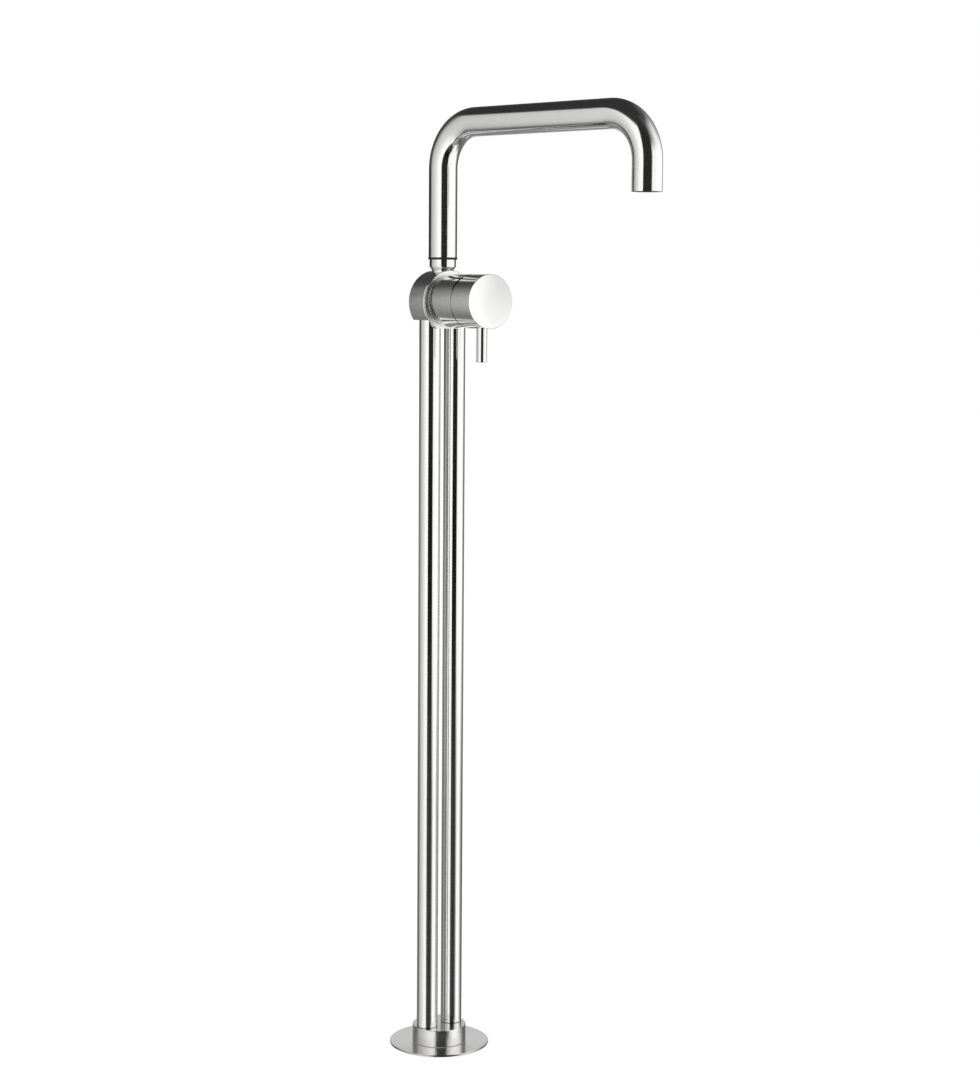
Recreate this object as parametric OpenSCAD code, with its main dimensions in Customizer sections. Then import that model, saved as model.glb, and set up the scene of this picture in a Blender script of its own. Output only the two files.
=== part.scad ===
// Floor-standing basin mixer.
// Two supply pipes stand on a round floor plate and carry a round valve body.
// A turning and tilting handle points to the front, and a bent tube spout swivels on top.
// The origin is the centre of the floor plate's underside. +Z is up and the front is -Y.

/* [Base] */
// Diameter of the floor plate
plate_d = 114; // [100:1:150]
// Thickness of the floor plate
plate_t = 2; // [1.8:0.1:4]
// Bevel on the floor plate's upper edge
plate_bevel = 0.3; // [0.1:0.1:0.6]
// Height of the collar on the floor plate
collar_h = 19.5; // [16:0.5:40]
// Metal left in the collar beside each pipe
collar_wall = 1.75; // [1.5:0.05:6]
// Bevel on the collar's upper edge
collar_bevel = 0.4; // [0.1:0.1:1]
// Height of the clear seal under the collar's rim
collar_seal_h = 0.5; // [0.4:0.1:1.5]
// Width of the clear seal under the collar's rim
collar_seal_w = 1.3; // [1:0.1:1.5]
// How far that seal stands out of the collar
collar_seal_lip = 0.2; // [0.1:0.1:0.5]
// Distance from the plate's edge to the seal under it
floor_seal_inset = 4; // [3:0.5:8]
// Width of the seal under the plate
floor_seal_w = 6; // [3:0.5:8]
// Height of the seal under the plate
floor_seal_h = 1; // [0.5:0.1:1.2]
// Distance between the two floor bolts
bolt_spacing = 39; // [36:0.5:42]
// Core diameter of the floor bolts' threads
bolt_core_d = 5; // [4:0.1:5.5]
// Length of the floor bolts' threads
bolt_len = 14; // [8:0.5:15]
// Clearance hole for a floor bolt in the plate
bolt_hole_d = 6.6; // [6:0.1:7]
// Diameter of a plate screw
screw_d = 3; // [2.5:0.1:3.5]
// Diameter of a plate screw's countersunk head
screw_head_d = 5.6; // [5:0.1:6]
// Length of a plate screw
screw_len = 10; // [7:0.5:14]
// Radius of the circle on which the plate screws sit
screw_ring_r = 24.4; // [24:0.1:26]
// Angle of the plate screws from the line through both pipes
screw_angle = 67; // [64:1:70]

/* [Supply pipes] */
// Outer diameter of a supply pipe
pipe_d = 24.2; // [23:0.1:27]
// Wall of a supply pipe
pipe_wall = 1.5; // [1:0.1:1.8]
// Clear gap between the two pipes
pipe_gap = 9.6; // [8:0.1:12]
// Core diameter of the inlet thread at a pipe's foot
inlet_d = 14.95; // [12:0.05:17]
// Length of the inlet thread
inlet_len = 14; // [8:0.5:30]
// Hole in the floor plate under an inlet
inlet_hole_d = 18; // [17.5:0.1:20]
// Diameter of the union's spigot in the valve body
union_d = 18; // [17:0.1:19]
// Length of the union's spigot in the valve body
union_len = 12; // [10:0.5:12.5]
// Length of the union's tail in the pipe
union_tail = 14; // [8:0.5:40]
// Water way through the union
union_bore_d = 11; // [8:0.5:12]

/* [Valve body] */
// Height of the handle's axis above the floor
handle_z = 857; // [700:1:1000]
// How far the body's rim stands out past the sleeve
body_rim = 5.4; // [4:0.1:9]
// How far the body's centre lies below the handle's axis
body_drop = 1.2; // [0:0.1:2]
// Distance from the pipes' plane to the body's back
body_back = 16; // [13:0.5:30]
// Distance from the pipes' plane to the body's front
body_front = 13; // [12.5:0.1:16]
// Distance from the handle's axis down to the body's flat underside
body_flat = 21.4; // [20.5:0.1:22.5]
// Bevel on the body's edges
body_bevel = 0.4; // [0.1:0.1:1]
// Thickness of the face ring
ring_t = 2.5; // [1.5:0.1:5]
// How far the face ring's flat lies below the sleeve
ring_foot = 0.9; // [0.3:0.1:2]
// Bevel on the face ring's edges
ring_bevel = 0.4; // [0.1:0.1:0.7]

/* [Cartridge] */
// Outer diameter of the ceramic cartridge
cartridge_d = 40.1; // [39:0.1:42]
// Wall of the cartridge housing
housing_wall = 2.6; // [2:0.1:2.8]
// Thickness of the cartridge's base
base_t = 5; // [4:0.1:6]
// Thickness of the fixed ceramic disc
fixed_t = 4; // [3:0.1:5]
// Thickness of the moving ceramic disc
moving_t = 3.5; // [3:0.1:5]
// Thickness of the disc carrier
carrier_t = 4.5; // [4:0.1:6]
// Thickness of the turning guide's flange
guide_t = 8; // [6:0.5:9]
// Radius of the turning guide's neck
guide_neck_r = 12; // [11:0.1:12.5]
// Length of the guide's neck past the retaining nut
guide_nose = 3; // [2:0.1:3.5]
// Thickness of the housing's front wall
front_wall = 3.5; // [3:0.1:5]
// Length of the retaining nut
nut_h = 8; // [6:0.5:8.5]
// Step from the cartridge bore out to the nut's thread
nut_step = 2.85; // [2:0.05:4]
// Wall of the body's barrel round the nut
barrel_wall = 2.95; // [2:0.05:4]
// Diameter of the spindle
spindle_d = 8; // [7:0.1:8.5]
// Diameter of the ball on the spindle's inner end
ball_d = 6; // [5:0.1:6.5]
// Distance from the ball to the spindle's pivot
spindle_arm = 18; // [16:0.1:18.5]
// Diameter of the pivot pin
pivot_d = 3; // [2.5:0.1:3.4]
// Diameter of the hot and cold ports
port_d = 6.8; // [6:0.1:7.2]
// Distance from the handle's axis out to the hot and cold ports
port_x = 9.5; // [9:0.1:10]
// Distance from the handle's axis down to the hot and cold ports
port_y = 4; // [3:0.1:5]
// Diameter of the mixed water port
mixed_d = 8; // [7:0.1:9]
// Distance from the handle's axis up to the mixed water port
mixed_y = 10; // [9.5:0.1:10.5]

/* [Handle] */
// Wall of the sleeve over the barrel's thread
sleeve_wall = 3.7; // [3.2:0.1:6]
// Length of the sleeve
sleeve_len = 40.5; // [39:0.5:60]
// Clearance inside the sleeve's front past the barrel
sleeve_relief = 2; // [1:0.1:2.2]
// Bevel on the sleeve's back edge
sleeve_bevel = 0.6; // [0.1:0.1:1]
// Gap between the sleeve and the cap
seam_gap = 1; // [0.6:0.1:1.5]
// Length of the cap
cap_len = 34; // [30:0.5:50]
// Wall of the cap
cap_wall = 2.5; // [1.5:0.1:4]
// Thickness of the cap's front
cap_face = 3; // [2:0.1:5]
// Bevel on the cap's front edge
cap_bevel = 0.4; // [0.1:0.1:1]
// Radius of the hub inside the cap
hub_r = 11; // [10:0.5:14]
// Diameter of the lever pin
lever_d = 12; // [8:0.5:14]
// Distance from the handle's axis down to the lever pin's end
lever_reach = 66.5; // [50:0.5:110]
// Distance from the cap's front back to the lever pin's axis
lever_inset = 15.8; // [12:0.1:18]
// Bevel on the lever pin's end
lever_bevel = 0.4; // [0.1:0.1:1.5]
// Diameter of the lever pin's stud and of the grub screw above it
stud_d = 5.9; // [5:0.1:6.5]
// Length of the grub screw
grub_len = 6.5; // [5:0.1:7]
// Largest tilt of the handle, in degrees
lift_max = 7; // [4:0.5:8]

/* [Spout] */
// Outer diameter of the spout tube
tube_d = 32; // [31:0.5:36]
// Wall of the spout tube
tube_wall = 1.5; // [1:0.1:2]
// Centre line radius of both bends
bend_r = 50; // [40:1:60]
// Height of the run's centre line above the riser's foot
spout_rise = 147.6; // [120:0.1:300]
// Distance from the riser's axis to the outlet's axis
spout_reach = 297; // [200:1:400]
// Distance from the run's centre line down to the outlet's end
outlet_drop = 81.5; // [75:0.5:150]
// Spout turned this many degrees to the right of the handle, as it stands
spout_turn = 9.7; // [-20:0.1:20]
// Swing of the spout to each side of the handle, in degrees
swing_max = 60; // [30:1:75]
// Diameter of the neck between the body and the spout
neck_d = 29.8; // [27:0.1:31]
// Diameter of the neck's foot
neck_foot_d = 23.8; // [22:0.1:25]
// Height of the neck above the body
neck_h = 12; // [8:0.1:20]
// Height of the neck's flared foot
neck_flare = 4; // [2:0.1:6]
// Depth of the neck's foot in the body
neck_seat = 2.9; // [2.5:0.1:4]
// Diameter of the nipple's thread in the body
nipple_thread_d = 19.9; // [18:0.1:20.5]
// Length of the nipple's thread in the body
nipple_thread_len = 7.5; // [6:0.1:7.7]
// Diameter of the nipple's spigot in the spout
spigot_d = 20; // [19:0.1:20.5]
// Length of the nipple's spigot in the spout
spigot_len = 36; // [33:0.5:50]
// Water way through the nipple
nipple_bore_d = 12; // [9:0.1:12]
// Thickness of the black slide ring under the riser
slide_t = 2.3; // [1:0.1:3]
// How far the slide ring stands out past the spout tube
slide_lip = 0.4; // [0:0.1:0.8]
// Diameter of the stop screw
stop_d = 5; // [4.5:0.1:5.5]
// Diameter of the stop screw's tip
stop_tip_d = 4; // [3:0.1:4.2]
// Height of the stop screw above the riser's foot
stop_z = 26; // [24.5:0.1:28]
// Depth of the stop's groove in the spigot
stop_groove = 1.8; // [1.2:0.1:2]
// Diameter of the aerator
aerator_d = 23; // [21:0.1:24]
// Length of the aerator
aerator_len = 10.5; // [8:0.1:14]
// How far the aerator sits up inside the outlet
aerator_recess = 0.8; // [0.3:0.1:3]

/* [Hidden] */
$fn = 96;

// Clearances
fit_gap = 0.05;
running_gap = 0.08;
free_gap = 0.3;
film_gap = 0.05;
slide_gap = 0.1;
// How far a cut reaches past what it cuts, in the open and where there is room for more
eps = 0.5;
over = 1;

// Broken edges of turned and moulded pieces, from the finest to the lead-in of a spigot
fine_edge = 0.2;
broken_edge = 0.3;
soft_edge = 0.4;
thread_edge = 0.5;
lead_in = 0.8;
slide_bevel = 0.2;

// Pipes and base
pipe_r = pipe_d / 2;
pipe_bore_r = pipe_r - pipe_wall;
pipe_x = (pipe_d + pipe_gap) / 2;
collar_r = pipe_x + pipe_r + collar_wall;
screw_head_r = screw_head_d / 2;
screw_head_h = screw_head_r - screw_d / 2;
screw_socket_d = 2;
screw_socket_h = 0.8;
flat_z = handle_z - body_flat;
union_r = union_d / 2;

// O-rings: cord radius, and groove bottom for a cord that reaches almost to the spigot's skin
cord_r = 1.1;
groove_h = 2 * cord_r + free_gap;
function groove_r(r) = r - 2 * cord_r - slide_gap;
function cord_ring_r(r) = r - cord_r - film_gap;
union_groove_z = union_len / 2;

// Distances in front of the pipes' plane, from the cartridge's seat outwards
seat_wall = 1.95;
seat_a = union_r + fit_gap + seat_wall;
fixed_a = seat_a + base_t;
moving_a = fixed_a + fixed_t + film_gap;
carrier_a = moving_a + moving_t;
guide_a = carrier_a + carrier_t + free_gap;
front_wall_a = guide_a + guide_t + free_gap;
nut_a = front_wall_a + front_wall;
barrel_end = nut_a + nut_h;
neck_end_a = barrel_end + guide_nose;
ball_r = ball_d / 2;
ball_play = 0.24;
ball_neck_step = 0.9;
ball_neck_len = 1;
spindle_taper = 1;
ball_a = carrier_a + free_gap + ball_r;
pivot_a = ball_a + spindle_arm;
pin_sunk = 0.4;
pin_play = 0.01;

// Radii about the handle's axis
cartridge_r = cartridge_d / 2;
seat_bore_r = cartridge_r + slide_gap;
nut_r = seat_bore_r + nut_step;
barrel_r = nut_r + fit_gap + barrel_wall;
sleeve_bore_r = barrel_r + fit_gap;
handle_r = barrel_r + sleeve_wall;
body_r = handle_r + body_rim;
ring_flat = handle_r + ring_foot;
housing_bore_r = cartridge_r - housing_wall;
turning_r = housing_bore_r - free_gap;
disc_travel = spindle_arm * lift_max * PI / 180;
rim_play = 0.15;
moving_r = turning_r - disc_travel - rim_play;
pocket_floor = 1.4;
passage_play = 1;
rail_x = moving_r + free_gap;
key_r = 1.7;
key_root = 0.2;
peg_r = 1.5;
peg_x = 14;
peg_y = 7;
peg_len = 2;
seal_cord_r = 0.7;
seal_seat_w = 2;
seal_seat_h = 2 * seal_cord_r + slide_gap;
nut_play = 1;
nut_bore_r = guide_neck_r + nut_play;
nut_slot_w = 3;
nut_slot_h = 2.5;
nut_slots = 6;

// Sleeve, cap and lever
sleeve_back = body_front + ring_t;
sleeve_front = sleeve_back + sleeve_len;
relief_overlap = 5;
sleeve_thread_end = barrel_end - relief_overlap;
sleeve_relief_r = barrel_r + sleeve_relief;
cap_back = sleeve_front + seam_gap;
cap_front = cap_back + cap_len;
hub_step = 3;
hub_back = cap_back + hub_step;
lever_a = cap_front - lever_inset;
spindle_r = spindle_d / 2;
spindle_past_lever = 5.8;
spindle_end = lever_a + spindle_past_lever;
flat_depth = 0.7;
spindle_flat = spindle_r - flat_depth;
lever_r = lever_d / 2;
lever_sunk = 2;
lever_root = handle_r - lever_sunk;
stud_r = stud_d / 2;
grub_top = spindle_flat + fit_gap;
grub_end = grub_top + grub_len;
grub_socket_d = 3;
grub_socket_h = 2.5;

// The cap's back is cut away above the axis, so that it tilts clear of the sleeve
tilt_reach = sleeve_front - pivot_a;
corner_a = tilt_reach * cos(lift_max) + handle_r * sin(lift_max) + free_gap;
corner_y = handle_r * cos(lift_max) - tilt_reach * sin(lift_max);
tilt_slope = max(0, (corner_a - tilt_reach - seam_gap) / corner_y);
slot_play = 0.4;
slot_half = spindle_r + (pivot_a - guide_a) * tan(lift_max) + slot_play;
slot_w = spindle_d + 2 * free_gap;

// Spout
tube_r = tube_d / 2;
tube_bore_r = tube_r - tube_wall;
body_top = handle_z - body_drop + body_r;
neck_bottom = body_top - neck_seat;
neck_top = body_top + neck_h;
riser_z = neck_top + slide_t + slide_gap;
run_z = riser_z + spout_rise;
outlet_z = run_z - outlet_drop;
riser_len = spout_rise - bend_r;
run_len = spout_reach - 2 * bend_r;
drop_len = outlet_drop - bend_r;
spigot_r = spigot_d / 2;
socket_bore_r = spigot_r + running_gap;
socket_r = tube_bore_r - fit_gap;
socket_over = 2;
socket_len = spigot_len + socket_over;
spout_seal_z = [8, 15];
stop_r = stop_d / 2;
stop_tip_r = stop_tip_d / 2;
groove_floor_r = spigot_r - stop_groove;
stop_tip_in = groove_floor_r + free_gap;
stop_step = 0.6;
stop_step_r = socket_bore_r + stop_step;
stop_sunk = 0.5;
stop_head_r = tube_r - stop_sunk;
stop_groove_h = stop_tip_d + 2 * free_gap;
groove_spare = 1;
groove_half = swing_max + asin((stop_tip_r + free_gap) / stop_tip_in) + groove_spare;
stop_socket_d = 2.5;
stop_socket_h = 2;
aerator_r = aerator_d / 2;
aerator_z = outlet_z + aerator_recess;
seat_step = 1;
aerator_seat_z = aerator_z + seat_step;
aerator_wall = 1.5;
washer_t = 1.6;
washer_w = 2.6;
jet_r = 0.9;
jet_pitch = 2.9;
jet_rings = 3;
function jets_in(ring) = max(1, 6 * ring);
grille_t = 1.6;

// Valve body's water ways
way_play = 0.2;
way_r = port_d / 2 + way_play;
riser_way_r = 4;
riser_way_step = 3;
riser_way_x = port_x + riser_way_step;
way_back = 3;
mixed_way_r = mixed_d / 2 + way_play;
neck_way_r = nipple_bore_d / 2;

steel = [0.74, 0.74, 0.75];
pale_steel = [0.84, 0.84, 0.85];
brass = [0.78, 0.66, 0.38];
black = [0.06, 0.06, 0.07];
clear_rubber = [0.72, 0.72, 0.7];
white_plastic = [0.92, 0.92, 0.9];
grey_plastic = [0.45, 0.46, 0.48];
ceramic = [0.95, 0.93, 0.88];

// Round bar from z = 0 to h, with bevels at its bottom and top
module bar(r, h, low = 0, high = 0) {
    rotate_extrude()
        polygon([[0, 0], [r - low, 0], [r, low], [r, h - high], [r - high, h], [0, h]]);
}

// Round bar with a round hole through it
module tube(r, bore, h, low = 0, high = 0) {
    difference() {
        bar(r, h, low, high);
        translate([0, 0, -eps]) cylinder(r = bore, h = h + 2 * eps);
    }
}

// O-ring lying flat about the Z axis
module cord_ring(r, cord) {
    rotate_extrude() translate([r, 0]) circle(r = cord);
}

// Groove cut round a spigot, centred on z = 0
module cord_groove(r) {
    rotate_extrude()
        translate([groove_r(r), -groove_h / 2]) square([2 * cord_r + over, groove_h]);
}

// Places children on the handle's axis: Z forwards, Y up, starting the given distance forward
module on_handle(a = 0) {
    translate([0, -a, handle_z]) rotate([90, 0, 0]) children();
}

// Turns children about the column with the spout, which points to -Y before the turn
module on_spout() {
    rotate([0, 0, spout_turn]) children();
}

// Places children at both pipes
module at_pipes() {
    for (side = [-1, 1]) translate([side * pipe_x, 0, 0]) children();
}

module at_bolts() {
    for (side = [-1, 1]) translate([0, side * bolt_spacing / 2, 0]) children();
}

module at_screws() {
    for (a = [screw_angle, 180 - screw_angle, 180 + screw_angle, 360 - screw_angle])
        rotate([0, 0, a]) translate([screw_ring_r, 0, 0]) children();
}

// Places children at the hot and the cold port, on the handle's axis
module at_ports() {
    for (side = [-1, 1]) translate([side * port_x, -port_y, 0]) children();
}

module floor_plate() {
    seal_out = plate_d / 2 - floor_seal_inset;
    color(pale_steel) difference() {
        bar(plate_d / 2, plate_t, 0, plate_bevel);
        translate([0, 0, -eps])
            tube(seal_out, seal_out - floor_seal_w, floor_seal_h + eps);
        at_pipes() translate([0, 0, -eps]) cylinder(d = inlet_hole_d, h = plate_t + 2 * eps);
        at_bolts() translate([0, 0, -eps]) cylinder(d = bolt_hole_d, h = plate_t + 2 * eps);
        at_screws() {
            translate([0, 0, -eps]) cylinder(r = screw_d / 2 + slide_gap, h = plate_t + 2 * eps);
            rotate_extrude() polygon([
                [0, -eps], [screw_head_r + slide_gap, -eps], [screw_head_r + slide_gap, slide_gap],
                [screw_d / 2 + slide_gap, slide_gap + screw_head_h], [0, slide_gap + screw_head_h]
            ]);
        }
    }
}

module floor_seal() {
    seal_out = plate_d / 2 - floor_seal_inset - fit_gap;
    color(black) tube(seal_out, seal_out - floor_seal_w + 2 * fit_gap, floor_seal_h);
}

module plate_screws() {
    color(steel) at_screws() difference() {
        rotate_extrude() polygon([
            [0, slide_gap], [screw_head_r, slide_gap],
            [screw_d / 2, slide_gap + screw_head_h], [screw_d / 2, screw_len], [0, screw_len]
        ]);
        translate([0, 0, -eps]) cylinder(d = screw_socket_d, h = screw_socket_h + eps, $fn = 6);
    }
}

module base_collar() {
    color(pale_steel) translate([0, 0, plate_t]) difference() {
        bar(collar_r, collar_h, 0, collar_bevel);
        translate([0, 0, -eps]) difference() {
            cylinder(r = collar_r + over, h = collar_seal_h + eps);
            cylinder(r = collar_r + collar_seal_lip - collar_seal_w - fit_gap, h = 2 * collar_seal_h + eps);
        }
        at_pipes() translate([0, 0, -eps]) cylinder(r = pipe_r + fit_gap, h = collar_h + 2 * eps);
        at_bolts() translate([0, 0, -eps]) cylinder(d = bolt_core_d, h = bolt_len + eps);
        at_screws() translate([0, 0, -eps])
            cylinder(r = screw_d / 2 + fit_gap, h = screw_len - plate_t + 2 * eps);
    }
}

module collar_seal() {
    seal_r = collar_r + collar_seal_lip;
    color(clear_rubber) translate([0, 0, plate_t]) tube(seal_r, seal_r - collar_seal_w, collar_seal_h);
}

module supply_pipe(side) {
    color(pale_steel) translate([side * pipe_x, 0, plate_t])
        tube(pipe_r, pipe_bore_r, flat_z - plate_t);
}

module inlet_bush(side) {
    color(brass) translate([side * pipe_x, 0, plate_t])
        tube(pipe_bore_r - fit_gap, inlet_d / 2, inlet_len, 0, thread_edge);
}

// Nipple that joins a pipe to the valve body
module pipe_union(side) {
    color(brass) translate([side * pipe_x, 0, flat_z]) difference() {
        union() {
            translate([0, 0, -union_tail]) cylinder(r = pipe_bore_r - fit_gap, h = union_tail);
            bar(union_r, union_len, 0, soft_edge);
        }
        translate([0, 0, -union_tail - eps])
            cylinder(d = union_bore_d, h = union_tail + union_len + 2 * eps);
        translate([0, 0, union_groove_z]) cord_groove(union_r);
    }
}

module union_orings() {
    color(black) at_pipes() translate([0, 0, flat_z + union_groove_z])
        cord_ring(cord_ring_r(union_r), cord_r);
}

// Round body with its flat underside, and the barrel that holds the cartridge
module valve_body() {
    body_len = body_back + body_front;
    color(steel) difference() {
        union() {
            on_handle(-body_back) difference() {
                translate([0, -body_drop, 0]) bar(body_r, body_len, body_bevel, body_bevel);
                translate([-body_r - over, -body_flat - body_r, -over])
                    cube([2 * body_r + 2 * over, body_r, body_len + 2 * over]);
            }
            on_handle(body_front) bar(barrel_r, barrel_end - body_front, 0, soft_edge);
        }
        on_handle(seat_a) cylinder(r = seat_bore_r, h = barrel_end);
        on_handle(nut_a) cylinder(r = nut_r + fit_gap, h = nut_h + eps);
        at_pipes() translate([0, 0, flat_z - eps])
            cylinder(r = union_r + fit_gap, h = union_len + free_gap + eps);
        for (side = [-1, 1]) {
            translate([side * riser_way_x, 0, flat_z + union_len])
                cylinder(r = riser_way_r, h = body_flat - union_len - port_y + way_r);
        }
        on_handle(-way_back) at_ports() cylinder(r = way_r, h = way_back + seat_a + eps);
        on_handle(-way_back) translate([0, mixed_y, 0])
            cylinder(r = mixed_way_r, h = way_back + seat_a + eps);
        on_handle(seat_a - peg_len - free_gap) for (side = [-1, 1])
            translate([side * peg_x, peg_y, 0]) cylinder(r = peg_r + slide_gap, h = peg_len + over);
        translate([0, 0, neck_bottom]) cylinder(r = neck_foot_d / 2 + slide_gap, h = neck_seat + over);
        translate([0, 0, neck_bottom - nipple_thread_len])
            cylinder(r = nipple_thread_d / 2 + fit_gap, h = nipple_thread_len + eps);
        translate([0, 0, handle_z + mixed_y])
            cylinder(r = neck_way_r, h = neck_bottom - handle_z - mixed_y);
    }
}

module face_ring() {
    color(pale_steel) on_handle(body_front) difference() {
        translate([0, -body_drop, 0]) bar(body_r, ring_t, ring_bevel, ring_bevel);
        translate([-body_r - over, -ring_flat - body_r, -over])
            cube([2 * body_r + 2 * over, body_r, ring_t + 2 * over]);
        translate([0, 0, -eps]) cylinder(r = barrel_r + slide_gap, h = ring_t + 2 * eps);
    }
}

module sleeve() {
    relief_a = sleeve_thread_end - sleeve_back;
    color(pale_steel) on_handle(sleeve_back) difference() {
        bar(handle_r, sleeve_len, sleeve_bevel, broken_edge);
        translate([0, 0, -eps]) cylinder(r = sleeve_bore_r, h = sleeve_len + 2 * eps);
        translate([0, 0, relief_a]) cylinder(r = sleeve_relief_r, h = sleeve_len);
    }
}

// Plastic foot of the cartridge, with its three ports, seal seats and two pegs
module cartridge_base() {
    color(grey_plastic) on_handle(seat_a) difference() {
        union() {
            bar(cartridge_r, base_t, broken_edge, 0);
            for (side = [-1, 1]) translate([side * peg_x, peg_y, -peg_len])
                cylinder(r = peg_r, h = peg_len + over);
        }
        at_ports() {
            translate([0, 0, -eps]) cylinder(d = port_d, h = base_t + 2 * eps);
            translate([0, 0, -eps]) cylinder(r = port_d / 2 + seal_seat_w, h = seal_seat_h + eps);
        }
        translate([0, mixed_y, -eps]) cylinder(d = mixed_d, h = base_t + 2 * eps);
        translate([0, mixed_y, -eps]) cylinder(r = mixed_d / 2 + seal_seat_w, h = seal_seat_h + eps);
    }
}

module base_seals() {
    color(black) on_handle(seat_a + seal_cord_r + fit_gap) {
        at_ports() cord_ring(port_d / 2 + seal_seat_w - seal_cord_r - slide_gap, seal_cord_r);
        translate([0, mixed_y, 0])
            cord_ring(mixed_d / 2 + seal_seat_w - seal_cord_r - slide_gap, seal_cord_r);
    }
}

module cartridge_housing() {
    inner_len = front_wall_a - fixed_a;
    color(white_plastic) on_handle(fixed_a) {
        difference() {
            bar(cartridge_r, inner_len + front_wall, 0, soft_edge);
            translate([0, 0, -eps]) cylinder(r = housing_bore_r, h = inner_len + eps);
            cylinder(r = guide_neck_r + running_gap, h = inner_len + front_wall + eps);
        }
        intersection() {
            for (side = [-1, 1]) translate([side * housing_bore_r, 0, 0]) cylinder(r = key_r, h = fixed_t);
            cylinder(r = housing_bore_r + key_root, h = fixed_t);
        }
    }
}

module fixed_disc() {
    color(ceramic) on_handle(fixed_a) difference() {
        cylinder(r = turning_r, h = fixed_t);
        at_ports() translate([0, 0, -eps]) cylinder(d = port_d, h = fixed_t + 2 * eps);
        translate([0, mixed_y, -eps]) cylinder(d = mixed_d, h = fixed_t + 2 * eps);
        for (side = [-1, 1]) translate([side * housing_bore_r, 0, -eps])
            cylinder(r = key_r + free_gap, h = fixed_t + 2 * eps);
    }
}

module moving_disc() {
    pocket = moving_t - pocket_floor;
    color(ceramic) on_handle(moving_a) difference() {
        cylinder(r = moving_r, h = moving_t);
        translate([0, mixed_y / 2, -eps]) cylinder(r = mixed_d / 2 + passage_play, h = pocket + eps);
        translate([-port_x, -port_y / 2, -eps]) cube([2 * port_x, port_y, pocket + eps]);
    }
}

module disc_carrier() {
    color(grey_plastic) on_handle(carrier_a) difference() {
        bar(moving_r, carrier_t, 0, broken_edge);
        translate([0, 0, slide_gap]) cylinder(r = ball_r + ball_play, h = carrier_t);
    }
}

// Turning guide: flange with two rails beside the carrier, and a neck slotted for the spindle
module turning_guide() {
    rail_len = guide_a - carrier_a;
    neck_len = neck_end_a - guide_a;
    color(white_plastic) on_handle(guide_a) difference() {
        union() {
            cylinder(r = turning_r, h = guide_t);
            bar(guide_neck_r, neck_len, 0, thread_edge);
            translate([0, 0, -rail_len]) difference() {
                cylinder(r = turning_r, h = rail_len + eps);
                translate([-rail_x, -turning_r - over, -over])
                    cube([2 * rail_x, 2 * turning_r + 2 * over, rail_len + over]);
            }
        }
        for (side = [-1, 1]) translate([0, side * (slot_half - slot_w / 2), -eps])
            cylinder(d = slot_w, h = neck_len + 2 * eps);
        translate([-slot_w / 2, -slot_half + slot_w / 2, -eps])
            cube([slot_w, 2 * slot_half - slot_w, neck_len + 2 * eps]);
        translate([-guide_neck_r - over, 0, pivot_a - guide_a]) rotate([0, 90, 0])
            cylinder(r = pivot_d / 2 + pin_play, h = 2 * guide_neck_r + 2 * over);
    }
}

module pivot_pin() {
    pin_half = guide_neck_r - pin_sunk;
    color(steel) on_handle(pivot_a) translate([-pin_half, 0, 0]) rotate([0, 90, 0])
        bar(pivot_d / 2, 2 * pin_half, broken_edge, broken_edge);
}

// Metal spindle with a ball at its inner end and a flat for the grub screw
module spindle() {
    neck_r = ball_r - ball_neck_step;
    color(steel) on_handle(ball_a) difference() {
        union() {
            sphere(r = ball_r);
            cylinder(r = neck_r, h = ball_r + ball_neck_len + eps);
            translate([0, 0, ball_r + ball_neck_len])
                bar(spindle_r, spindle_end - ball_a - ball_r - ball_neck_len, spindle_taper, thread_edge);
        }
        translate([-spindle_r - over, 0, pivot_a - ball_a]) rotate([0, 90, 0])
            cylinder(r = pivot_d / 2 + fit_gap, h = spindle_d + 2 * over);
        translate([-spindle_r - over, -spindle_r - 2 * over, hub_back - ball_a])
            cube([
                spindle_d + 2 * over, spindle_r + 2 * over - spindle_flat, spindle_end - hub_back + over
            ]);
    }
}

module retaining_nut() {
    color(brass) on_handle(nut_a) difference() {
        bar(nut_r, nut_h, broken_edge, soft_edge);
        translate([0, 0, -eps]) cylinder(r = nut_bore_r, h = nut_h + 2 * eps);
        for (i = [0 : nut_slots - 1]) rotate([0, 0, i * 360 / nut_slots])
            translate([0, -nut_slot_w / 2, nut_h - nut_slot_h])
                cube([nut_bore_r + nut_slot_w, nut_slot_w, nut_slot_h + over]);
    }
}

// Hollow cap with a hub for the spindle; its back is cut away above the axis
module handle_cap() {
    cavity = cap_len - cap_face;
    bore_len = spindle_end + free_gap - hub_back;
    color(pale_steel) on_handle(cap_back) difference() {
        union() {
            difference() {
                bar(handle_r, cap_len, fine_edge, cap_bevel);
                translate([0, 0, -eps]) cylinder(r = handle_r - cap_wall, h = cavity + eps);
            }
            translate([0, 0, hub_back - cap_back])
                cylinder(r = hub_r, h = cavity - hub_back + cap_back + eps);
        }
        translate([-handle_r - over, 0, 0]) rotate([90, 0, 90]) linear_extrude(2 * handle_r + 2 * over)
            polygon([
                [0, -over], [0, 0], [handle_r + over, (handle_r + over) * tilt_slope], [handle_r + over, -over]
            ]);
        translate([0, 0, hub_back - cap_back - eps]) cylinder(r = spindle_r + fit_gap, h = bore_len + eps);
        translate([0, 0, lever_a - cap_back]) rotate([90, 0, 0])
            cylinder(r = stud_r + fit_gap, h = handle_r + over);
    }
}

module grub_screw() {
    color(steel) on_handle(lever_a) rotate([90, 0, 0]) translate([0, 0, grub_top]) difference() {
        bar(stud_r, grub_len, thread_edge, broken_edge);
        translate([0, 0, grub_len - grub_socket_h])
            cylinder(d = grub_socket_d, h = grub_socket_h + eps, $fn = 6);
    }
}

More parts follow.
